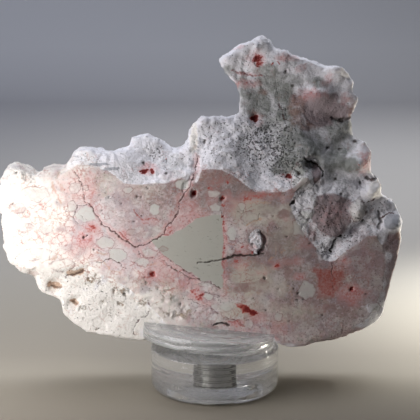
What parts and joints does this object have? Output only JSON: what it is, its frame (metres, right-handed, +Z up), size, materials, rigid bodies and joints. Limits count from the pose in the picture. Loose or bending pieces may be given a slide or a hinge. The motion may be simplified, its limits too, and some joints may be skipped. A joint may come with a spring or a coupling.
{
  "type": "mineral slice on display stand",
  "caption": "Sawn opal slice with a polished face and rough natural edges, standing upright on a round clear acrylic stand with a tilting top disc and a rod magnet core.",
  "frame": {"origin": "centre of the stand's flat underside", "axes": "+Z up, +X to the right as the polished face is seen, the polished face looks towards -Y"},
  "size_m": [0.0815, 0.031, 0.0708],
  "materials": {
    "opal": "polished field, rough natural edges",
    "acrylic": "clear, polished",
    "button_steel": "turned",
    "magnet_nickel": "bright nickel, finely turned"
  },
  "bodies": {
    "root": {"opal_slice": "opal", "top_disc": "acrylic", "tilt_button": "button_steel", "rod_magnet": "magnet_nickel", "stand_base": "acrylic"}
  },
  "joints": []
}
